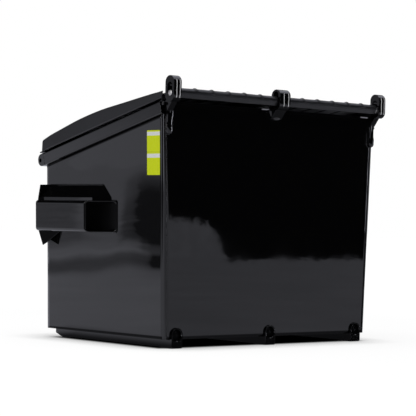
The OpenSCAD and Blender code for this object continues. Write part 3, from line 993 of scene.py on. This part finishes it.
@dataclass
class Lid:
    """One moulded lid: a crowned skin with raised ribs, rounded skirts, a lip and a hinge roll."""

    side: int
    plastic: bpy.types.Material
    shell: Shell
    wall: float = 6 * MM
    shoulder: float = 12 * MM
    rib_half: float = 17 * MM
    rib_rise: float = 5.4 * MM
    rib_pitch: float = 135 * MM
    rib_shift: float = 14 * MM
    rib_count: int = 5
    inner_skirt: float = 40 * MM
    roll_radius: float = 26 * MM
    roll_rise: float = 8.6 * MM
    notch: float = 132 * MM
    barrel_end: float = 48 * MM
    barrel_stop: float = 0.857
    wall_side: float = 1.0
    arch: float = 1.1 * MM
    unevenness: float = 0.5 * MM
    lip_reach: float = 17 * MM
    lip_half: float = 4.2 * MM

    def __post_init__(self) -> None:
        """Reads the outline of the skirt and the hinge from the CAD."""
        self.label = "right" if self.side > 0 else "left"
        self.body = Body.RIGHT_LID if self.side > 0 else Body.LEFT_LID
        self.low, self.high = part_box("right_lid")
        corners = mesh_corners(frame["nodes"]["right_lid"].data)
        skirt = corners[corners[:, 0] > self.high.x - 0.5 * MM]
        joints = {j["name"]: j for j in frame["record"]["behaviour"]["joints"]}
        self.hinge = np.array(joints["right_lid_hinge"]["pos_m"])[1:]
        self.skirt_end = skirt[:, 1].max()
        self.skirt_low = skirt[skirt[:, 1] > self.skirt_end - 0.1 * MM][:, 2].min()
        self.front_y = self.low.y + 28 * MM
        places = np.unique(np.round(skirt[:, 1], 4))
        places = places[places > self.front_y + 2.5 * MM]
        tops = [skirt[np.abs(skirt[:, 1] - y) < 0.1 * MM][:, 2].max() for y in places]
        start = (self.front_y, self.skirt_z(self.front_y))
        self.outline = np.concatenate([[start], np.stack([places, tops], 1)])

    def skirt_z(self, y: np.ndarray | float) -> np.ndarray | float:
        """Height of the outer skirt's lower edge at a distance along it."""
        return self.skirt_low + (y - self.skirt_end) * self.shell.slope

    def path(self) -> tuple[np.ndarray, np.ndarray, np.ndarray]:
        """The lid seen from the side, from the front's foot over the top and round the roll.

        The roll is half a circle about the hinge, drawn up by roll_rise, that carries on
        under the rod. A small outward bead near its end stiffens the edge.

        Returns:
            Points (y, z), the inward unit normal at each, and the length run at each.
        """
        count = 56
        turn = np.radians(np.linspace(100, -150, count))
        bead = 4.4 * MM * np.exp(-((np.degrees(turn) + 64) / 8) ** 2)
        bead -= 2.4 * MM * np.exp(-((np.degrees(turn) + 40) / 8) ** 2)
        around = (self.roll_radius + bead)[:, None] * np.stack([np.cos(turn), np.sin(turn)], 1)
        lift = self.roll_rise * np.clip(np.sin(turn) + 0.6, 0, 1)
        roll = self.hinge + around + np.stack([np.zeros(count), lift], 1)
        rough = np.concatenate([self.outline, roll])
        flat = np.stack([np.zeros(len(rough)), rough[:, 0], rough[:, 1]], 1)
        line = spaced(flat, 2.2 * MM)[:, 1:]
        for _ in range(3):
            line[1:-1] = 0.25 * line[:-2] + 0.5 * line[1:-1] + 0.25 * line[2:]
        run = np.concatenate([[0], np.cumsum(np.linalg.norm(np.diff(line, axis=0), axis=1))])
        ahead = np.gradient(line, axis=0)
        ahead /= np.linalg.norm(ahead, axis=1)[:, None]
        return line, np.stack([ahead[:, 1], -ahead[:, 0]], 1), run

    def rows(self, line: np.ndarray, run: np.ndarray) -> np.ndarray:
        """Which points of the path become rows: all near bends, and one in four elsewhere.

        Args:
            line: Points (y, z) of the path.
            run: Length run at each.

        Returns:
            The numbers of the points.
        """
        near = (run < 0.14) | (line[:, 0] > self.skirt_end + 0.02)
        picked = near | (np.arange(len(run)) % 4 == 0)
        picked[[0, -1]] = True
        return np.nonzero(picked)[0]

    def columns(self) -> np.ndarray:
        """Places across the skin, denser on the ribs and exact at the roll's ends.

        Returns:
            The places along X, in rising order.
        """
        x0, x1 = self.low.x + self.shoulder, self.high.x - self.shoulder
        across = [np.linspace(x0, x1, 44), [self.barrel_end, self.barrel_stop]]
        across += [c + np.linspace(-1.15, 1.15, 15) * self.rib_half for c in self.ribs()]
        return np.unique(np.round(np.concatenate(across), 5))

    def ribs(self) -> np.ndarray:
        """Where the ribs' middles lie across the lid."""
        middle = (self.low.x + self.high.x) / 2 - self.rib_shift
        return middle + (np.arange(self.rib_count) - (self.rib_count - 1) / 2) * self.rib_pitch

    def depth(self, x: np.ndarray, line: np.ndarray, run: np.ndarray) -> np.ndarray:
        """How far the top lies below the outline: a shallow arch less a raised cosine a rib.

        The ribs fade in behind the front edge and out before the roll, and two crossed sines
        make the moulding uneven.

        Args:
            x: Places across the skin.
            line: Points (y, z) of the rows.
            run: Length run at each row.

        Returns:
            The depth at each row and place.
        """
        rib = np.zeros(len(x))
        for centre in self.ribs():
            rib += 0.5 + 0.5 * np.cos(np.pi * np.clip((x - centre) / self.rib_half, -1, 1))
        share = (x - x[0]) / (x[-1] - x[0])
        arch = self.arch * (1 - np.sin(np.pi * share) ** 0.5)
        fade = np.clip((run - 0.05) / 0.07, 0, 1)
        fade = fade * fade * (3 - 2 * fade) * np.clip((run[line[:, 0].argmax()] - run) / 0.03, 0, 1)
        depth = arch[None, :] - self.rib_rise * rib[None, :] * fade[:, None]
        depth += self.unevenness * np.sin(x * 19 + line[:, :1] * 7) * np.sin(line[:, :1] * 11 + 1.0)
        return np.maximum(depth, -self.rib_rise) + 0.2 * MM

    def edge_strip(self, outer: bool, end: np.ndarray, line: np.ndarray, inward: np.ndarray,
                   run: np.ndarray) -> np.ndarray:
        """The rounded shoulder and the skirt along one long edge.

        On a shoulder of radius r the depth is r (1 - cos a) while x runs r sin a, and the
        skirt then falls straight to its lower edge.

        Args:
            outer: Whether it is the edge away from the middle of the container.
            end: The top's depth where the shoulder starts, at each row.
            line: Points (y, z) of the rows.
            inward: Inward unit normals of the rows.
            run: Length run at each row.

        Returns:
            Rows of points, from the top's edge to the skirt's foot.
        """
        angle = np.linspace(0, np.pi / 2, 9)[1:]
        edge_x, sign = (self.high.x, 1) if outer else (self.low.x, -1)
        drop = end[:, None] + (self.shoulder - end)[:, None] * (1 - np.cos(angle))
        turn_x = edge_x - sign * self.shoulder * (1 - np.sin(angle))
        turn = np.concatenate([np.broadcast_to(turn_x[None, :, None], (*drop.shape, 1)),
                               line[:, None] + inward[:, None] * drop[..., None]], -1)
        stop_y = self.skirt_end if outer else self.hinge[0] - self.notch
        stop = np.interp(stop_y, line[:, 0], run)
        start_y = self.front_y + 9 * MM
        foot_y = start_y + (stop_y - start_y) * np.clip(run / stop, 0, 1)
        foot_z = self.skirt_z(foot_y) + (0.0 if outer else self.inner_skirt)
        last = turn[:, -1]
        foot_z = np.minimum(foot_z, last[:, 2] + 0.1 * MM)
        foot = np.stack([np.full(len(run), edge_x), foot_y, foot_z], 1)
        fall = np.linspace(0, 1, 8)[1:]
        skirt = last[:, None] + (foot - last)[:, None] * fall[None, :, None]
        return np.concatenate([turn, skirt], 1)

    def build_skin(self) -> None:
        """Builds the skin, its rounded shoulders and both skirts as one sheet.

        Across the lid the sheet lies a depth below the outline along the inward normal. The
        faces beside the roll, behind the notch and behind the skirt's end are left out.
        """
        line, inward, run = self.path()
        rows = self.rows(line, run)
        line, inward, run = line[rows], inward[rows], run[rows]
        x = self.columns()
        depth = self.depth(x, line, run)
        top = np.concatenate([np.broadcast_to(x[None, :, None], (*depth.shape, 1)),
                              line[:, None] + inward[:, None] * depth[..., None]], -1)
        inner = self.edge_strip(False, depth[:, 0], line, inward, run)
        outer = self.edge_strip(True, depth[:, -1], line, inward, run)
        points = np.concatenate([inner[:, ::-1], top, outer], 1)
        faces = grid_faces(*points.shape[:2])
        middle = points.reshape(-1, 3)[faces].mean(1)
        row = faces[:, 0] // points.shape[1]
        behind_notch = line[row, 0] >= self.hinge[0] - self.notch
        behind_skirt = (line[row, 0] >= self.skirt_end) | (run[row] > run[line[:, 0].argmax()])
        off_roll = (middle[:, 0] < self.barrel_end) | (middle[:, 0] > self.barrel_stop)
        on_fin = middle[:, 0] > self.high.x - 0.7 * self.wall
        left_out = behind_notch & off_roll & ~(on_fin & ~behind_skirt)
        self.place("shell", points, faces[~left_out])

    def place(self, part: str, points: np.ndarray, faces: np.ndarray) -> None:
        """Makes a sheet of the lid, with its wall on the inner side, on the lid's own side.

        Args:
            part: The end of the piece's name.
            points: Grid of points for the right-hand lid.
            faces: The faces that are kept.
        """
        used, packed = np.unique(faces, return_inverse=True)
        corners = points.reshape(-1, 3)[used] * (self.side, 1, 1)
        faces = packed.reshape(faces.shape)
        if self.side < 0:
            faces = faces[:, ::-1]
        made = new_piece(f"{self.label}_lid_{part}", corners, faces, outwards=False)
        wall = made.modifiers.new("wall", "SOLIDIFY")
        wall.thickness = self.wall
        wall.offset = self.wall_side
        wall.use_even_offset = False
        finish_piece(made, self.body, Slot.PLASTIC, self.plastic, f"{self.label}_lid")

    def build_lip(self) -> None:
        """Builds the front lip: a flattened bar with a round nose and round ends.

        Its section is an oval with half sides a and b whose size falls as the fourth root
        near both ends, so that the bar closes.
        """
        rings, sides = 90, 28
        share = np.linspace(0, 1, rings)
        size = np.clip(1 - (2 * share - 1) ** 60, 0, 1)[:, None] ** 0.25
        angle = np.linspace(0, 2 * np.pi, sides, endpoint=False)
        y = np.sign(np.cos(angle)) * np.abs(np.cos(angle)) ** 0.6 * self.lip_reach
        z = np.sign(np.sin(angle)) * np.abs(np.sin(angle)) ** 0.8 * self.lip_half + y * self.shell.slope
        middle_y = self.low.y + self.lip_reach
        middle_z = self.skirt_z(middle_y) + 2.2 * MM
        x = np.broadcast_to((self.low.x + share * (self.high.x - self.low.x))[:, None], (rings, sides))
        points = np.stack([x, middle_y + y * size, middle_z + z * size], -1) * (self.side, 1, 1)
        lip = new_piece(f"{self.label}_lid_lip", points, grid_faces(rings, sides, False, True), merge=1e-7)
        finish_piece(lip, self.body, Slot.PLASTIC, self.plastic)

    def build(self) -> None:
        """Builds the lid's sheet and its lip."""
        self.build_skin()
        self.build_lip()


# ---------------------------------------------------------------- decals


def build_decals() -> None:
    """Gives the two decals their vinyl."""
    for node in ("upper_decal", "lower_decal"):
        low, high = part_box(node)
        made = rounded_cad_copy(node, f"{node}_vinyl", 0.25 * MM, 2)
        vinyl = VinylDecal(f"{node}_print", low.z, high.z).material()
        finish_piece(made, Body.CONTAINER, Slot.DECAL, vinyl, node)


# ---------------------------------------------------------------- studio


@dataclass
class Studio:
    """Pale floor, soft lamps, surroundings and camera."""

    floor_reach: float = 60.0
    rear_reach: float = 20.0
    mirror_point: Triple = (-5.81, 8.556, 0.0)
    rear_mirror_point: Triple = (7.614, -7.408, 0.0)
    step_axis: Triple = (-0.7486, -0.663, 0.0)
    camera_place: Triple = (7.614, 8.5563, 0.780)
    yaw: float = 41.53
    pitch: float = 0.39
    roll: float = 1.36
    lens: float = 150.85
    right_wall: Triple = (0.663, -0.749, 0.0)
    lateral: Triple = (0.749, 0.663, 0.0)
    tint: Triple = (0.97, 0.98, 1.1)
    footprint_inset: float = 0.1
    strips: tuple[tuple[Triple, float, float, float], ...] = (
        ((-0.97, 0.243, 0.0), 0.09, 0.55, 9.0),
        ((0.8, 0.6, 0.0), 0.1, 0.3, 4.5),
    )

    def build_camera(self) -> None:
        """Places the camera: its axes come from yaw, pitch and roll in degrees."""
        yaw, pitch, roll = (math.radians(a) for a in (self.yaw, self.pitch, self.roll))
        ahead = Vector((-math.sin(yaw) * math.cos(pitch), -math.cos(yaw) * math.cos(pitch), math.sin(pitch)))
        right = ahead.cross(Vector((0, 0, 1))).normalized()
        up = right.cross(ahead)
        right, up = right * math.cos(roll) + up * math.sin(roll), up * math.cos(roll) - right * math.sin(roll)
        data = bpy.data.cameras.new("camera")
        data.sensor_width = 36.0
        data.lens = self.lens
        data.clip_end = 200.0
        camera = bpy.data.objects.new("camera", data)
        bpy.context.scene.collection.objects.link(camera)
        axes = Matrix((right, up, -ahead)).transposed().to_4x4()
        camera.matrix_world = Matrix.Translation(Vector(self.camera_place)) @ axes
        bpy.context.scene.camera = camera

    def reflected_right(self, g: Graph, place: bpy.types.NodeSocket) -> bpy.types.NodeSocket:
        """Brightness of the floor in the right side's gloss.

        A bright field ends in a dark seam, then a greyer floor follows. Fields that lie at an
        angle about the mirror point darken it: a patch, a corner, a streak and a pocket.

        Args:
            g: The graph to add to.
            place: The floor point.

        Returns:
            The brightness.
        """
        out = g.along(place, self.right_wall)
        from_mirror = g.offset(place, self.mirror_point)
        aside = g.math("DIVIDE", g.along(from_mirror, self.lateral), g.along(from_mirror, self.right_wall))
        aside = g.math("ADD", aside, g.ramp(g.noise(place, 0.35, 2.0), 0.3, 0.7, -0.0025, 0.0025))
        bright = g.math("SUBTRACT", g.ramp(out, -1.5, 0.8, 0.55, 0.84), g.ramp(out, 9.0, 12.0, 0.0, 0.18))
        seam = g.math("MULTIPLY", g.ramp(out, 5.9, 7.3), g.ramp(out, 9.4, 8.0, 0.0, 0.45))
        fade = g.math("ADD", g.ramp(out, 22.0, 34.0, 0.0, 0.12), g.ramp(out, 46.0, 66.0, 0.0, 0.26))
        patch_depth = g.math("SUBTRACT", g.ramp(out, 9.9, 12.2, 0.0, 0.38), fade)
        patch = g.math("MULTIPLY", g.ramp(aside, -0.057, -0.046), patch_depth)
        corner = g.math("MULTIPLY", g.ramp(aside, -0.046, -0.034, 0.0, 0.13), g.ramp(out, 4.4, 6.5))
        streak = g.math("MULTIPLY", g.ramp(aside, -0.0385, -0.034, 0.0, 0.34), g.ramp(out, 6.3, 7.1))
        streak = g.math("MULTIPLY", g.math("ADD", corner, streak), g.ramp(out, 60.0, 16.0))
        pocket_depth = g.math("MULTIPLY", g.ramp(out, 10.0, 13.0), g.ramp(out, 38.0, 30.0, 0.0, 0.24))
        streak = g.math("ADD", streak, g.math("MULTIPLY", g.ramp(aside, -0.066, -0.075), pocket_depth))
        cloud = g.ramp(g.noise(place, 0.9, 3.0, 0.6), 0.3, 0.7, -0.04, 0.04)
        darker = g.math("ADD", g.math("ADD", seam, cloud), g.math("ADD", patch, streak))
        return g.math("MAXIMUM", g.math("SUBTRACT", bright, darker), 0.06)

    def frayed_rear(self, g: Graph, place: bpy.types.NodeSocket) -> bpy.types.NodeSocket:
        """How dark the floor's frayed rear edge is, past the step in the white line.

        Args:
            g: The graph to add to.
            place: The floor point.

        Returns:
            A share from 0 to 1.
        """
        out = g.math("MULTIPLY", g.along(place, self.right_wall), 0.1)
        stretched = g.node("CombineXYZ", {0: g.along(place, self.lateral), 1: out}).outputs[0]
        grain = g.noise(stretched, 3.2, 4.0, 0.7)
        behind = g.node("SeparateXYZ", {"Vector": place}).outputs["Y"]
        edge = g.math("ADD", behind, g.ramp(grain, 0.25, 0.75, 0.0, 5.0))
        dark = g.ramp(edge, self.rear_reach - 0.6, self.rear_reach + 2.2, 0.0, 0.96)
        from_rear = g.offset(place, self.rear_mirror_point)
        heading = g.node("VectorMath", {0: from_rear}, operation="NORMALIZE").outputs[0]
        return g.math("MULTIPLY", dark, g.ramp(g.along(heading, self.step_axis), 0.009, 0.018))

    def build_floor(self) -> None:
        """Lays a floor that looks white, keeps the container's lamp shadow, carries a painted contact shadow
        and painted black shade under the container, and shows darker in gloss.
        """
        reach, steps = self.floor_reach, 3
        x, y = np.meshgrid(np.linspace(-reach, reach, steps), np.linspace(-reach, self.rear_reach, steps),
                           indexing="ij")
        points = np.stack([x, y, np.zeros_like(x)], -1)
        floor = new_piece("floor", points, grid_faces(steps, steps), outwards=False)
        made, g, place = start_material("pale_floor")
        seen = g.node("LightPath")
        beyond = self.beyond_footprint(g, place)
        distance = g.node("VectorMath", {0: place}, operation="LENGTH").outputs["Value"]
        # Painted contact shadow: ambient occlusion darkens the floor's glow next to the container; the glow
        # also rises from 0.86 near the middle to 1 far away.
        painted_contact_shadow = g.math("POWER", g.node("AmbientOcclusion", {"Distance": 0.3}, samples=8).outputs["AO"], 0.9)
        glow = g.math("MULTIPLY", painted_contact_shadow, g.ramp(distance, 2.5, 9.0, 0.86, 1.0))
        lit = g.node("BsdfDiffuse", {"Color": rgba((0.16, 0.16, 0.16))})
        shown = g.node("AddShader", {0: lit.outputs[0], 1: g.node("Emission", {"Strength": glow}).outputs[0]})
        seen_right = self.reflected_right(g, place)
        mirror = g.math("MULTIPLY", seen_right, g.math("SUBTRACT", 1.0, self.frayed_rear(g, place)))
        # Painted shade in gloss: the floor's reflection darkens towards the container's footprint.
        mirror = g.math("MULTIPLY", mirror, g.ramp(beyond, 0.0, 0.55, 0.12, 1.0))
        mirrored = g.node("Emission", {"Color": rgba(self.tint), "Strength": mirror})
        bounced = g.node("BsdfDiffuse", {"Color": rgba((0.75, 0.75, 0.75))})
        gloss = {0: seen.outputs["Is Glossy Ray"], 1: bounced.outputs[0], 2: mirrored.outputs[0]}
        unseen = g.node("MixShader", gloss)
        # Painted shade: to the eye the floor turns black under the container.
        black = g.node("Emission", {"Strength": 0.0})
        painted_under_shade = g.ramp(beyond, -0.09, 0.01)
        shown = g.node("MixShader", {0: painted_under_shade, 1: black.outputs[0], 2: shown.outputs[0]})
        camera_ray = seen.outputs["Is Camera Ray"]
        both = g.node("MixShader", {0: camera_ray, 1: unseen.outputs[0], 2: shown.outputs[0]})
        g.node("OutputMaterial", {"Surface": both.outputs[0]})
        floor.data.materials.append(made)

    def beyond_footprint(self, g: Graph, place: bpy.types.NodeSocket) -> bpy.types.NodeSocket:
        """Distance of a floor point outside a rectangle a little inside the container's box.

        Args:
            g: The graph to add to.
            place: The point's position.

        Returns:
            The larger of |x| and |y| less the rectangle's half sides.
        """
        low, high = CAD_BOX
        axes = g.node("SeparateXYZ", {"Vector": place}).outputs
        half_x, half_y = ((high[k] - low[k]) / 2 - self.footprint_inset for k in (0, 1))
        past_x = g.math("SUBTRACT", g.math("ABSOLUTE", axes["X"]), half_x)
        past_y = g.math("SUBTRACT", g.math("ABSOLUTE", axes["Y"]), half_y)
        return g.math("MAXIMUM", past_x, past_y)

    def build_world(self) -> None:
        """Surrounds the container.

        The world is white to the eye and an even grey to matt surfaces. Gloss sees a white
        wall on the right, a low white line on the rear left that steps down where a dark
        room begins, tall strips of light and a bank of ceiling lights.
        """
        world = bpy.data.worlds.new("surroundings")
        bpy.context.scene.world = world
        world.use_nodes = True
        g = Graph(world.node_tree)
        seen = g.node("LightPath")
        ray = g.node("TexCoord").outputs["Generated"]
        height = g.node("SeparateXYZ", {"Vector": ray}).outputs["Z"]

        def strip(axis: Triple, half: float, top: float, strength: float) -> bpy.types.NodeSocket:
            """An upright strip of light about a level axis, up to a height."""
            body = g.ramp(g.along(ray, axis), math.cos(half * 1.25), math.cos(half))
            return g.math("MULTIPLY", body, g.ramp(height, top * 1.15, top, 0.0, strength))

        yaw = math.radians(self.yaw)
        across = g.along(ray, (-math.cos(yaw), -math.sin(yaw), 0.0))
        towards = g.along(ray, (-math.sin(yaw), math.cos(yaw), 0.0))
        ragged = g.math("ADD", g.ramp(g.noise(ray, 60.0, 3.0, 0.6), 0.2, 0.8, -0.002, 0.002),
                        g.ramp(g.noise(ray, 260.0, 4.0, 0.7), 0.2, 0.8, -0.0028, 0.0028))
        edge = g.math("ADD", g.ramp(across, 0.002, 0.016, 0.0, -0.0225), ragged)
        below = g.ramp(g.math("SUBTRACT", height, edge), 0.0026, -0.0026, 0.0, 0.6)
        below = g.math("MULTIPLY", below, g.ramp(g.noise(ray, 110.0, 3.0), 0.3, 0.7, 0.9, 1.05))
        low = g.math("MULTIPLY", below, g.ramp(towards, -0.2, 0.2))
        wall = g.math("ADD", g.ramp(height, 0.085, 0.03, 0.0, 0.45), g.ramp(height, 0.34, 0.22, 0.0, 0.3))
        wall = g.math("MULTIPLY", g.ramp(g.along(ray, self.right_wall), 0.62, 0.93), wall)
        bank = g.math("MULTIPLY", g.ramp(height, 0.56, 0.62), g.ramp(height, 0.86, 0.8, 0.0, 1.5))
        bank = g.math("MULTIPLY", bank, g.ramp(g.along(ray, (-1.0, 0.0, 0.0)), 0.08, 0.2))
        total = g.math("ADD", low, g.math("ADD", wall, bank))
        for axis, half, top, strength in self.strips:
            total = g.math("ADD", total, strip(axis, half, top, strength))
        parts = {i: g.math("MULTIPLY", total, share) for i, share in enumerate(self.tint)}
        mirrored = g.node("CombineColor", parts).outputs[0]
        plain = g.mix(seen.outputs["Is Glossy Ray"], rgba((0.62, 0.62, 0.63)), mirrored)
        shown = g.mix(seen.outputs["Is Camera Ray"], plain, rgba((1.0, 1.0, 1.0)))
        light = g.node("Background", {"Color": shown, "Strength": 1.0})
        g.node("OutputWorld", {"Surface": light.outputs[0]})

    def lamp(self, name: str, place: Triple, size: float, watts: float) -> None:
        """Hangs a square soft lamp that faces the container's middle.

        Args:
            name: The lamp's name.
            place: Where it hangs, in metres.
            size: Its side, in metres.
            watts: Its power.
        """
        data = bpy.data.lights.new(name, "AREA")
        data.size = size
        data.energy = watts
        lamp = bpy.data.objects.new(name, data)
        bpy.context.scene.collection.objects.link(lamp)
        aim = (Vector((0, 0, 0.8)) - Vector(place)).to_track_quat("-Z", "Y")
        lamp.matrix_world = Matrix.Translation(Vector(place)) @ aim.to_matrix().to_4x4()

    def build(self) -> None:
        """Builds the whole studio."""
        self.build_floor()
        self.build_world()
        self.lamp("top_softbox", (0.6, 0.4, 6.0), 3.0, 120.0)
        self.lamp("right_softbox", (6.5, -1.5, 3.2), 2.2, 70.0)
        self.build_camera()
        view = bpy.context.scene.view_settings
        view.view_transform = "Standard"


def main() -> None:
    """Builds the container and its studio."""
    logging.basicConfig(level=logging.INFO, format="%(name)s: %(message)s")
    paint = GlossPaint().material()
    plastic = MouldedPlastic().material()
    steel = DrawnSteel().material()
    # A darker, rougher, less glossy copy of the enamel that paints shade in recesses, under the hinge plates
    # and behind the tow eyes.
    dimmed = GlossPaint("shaded_black_enamel", smooth=0.35, rough=0.5, index=1.16).material()
    shell = Shell(paint, dimmed)
    shell.build()
    HingeRod(steel).build()
    for side in (1, -1):
        Lid(side, plastic, shell).build()
    build_decals()
    Studio().build()


if __name__ == "__main__":
    main()
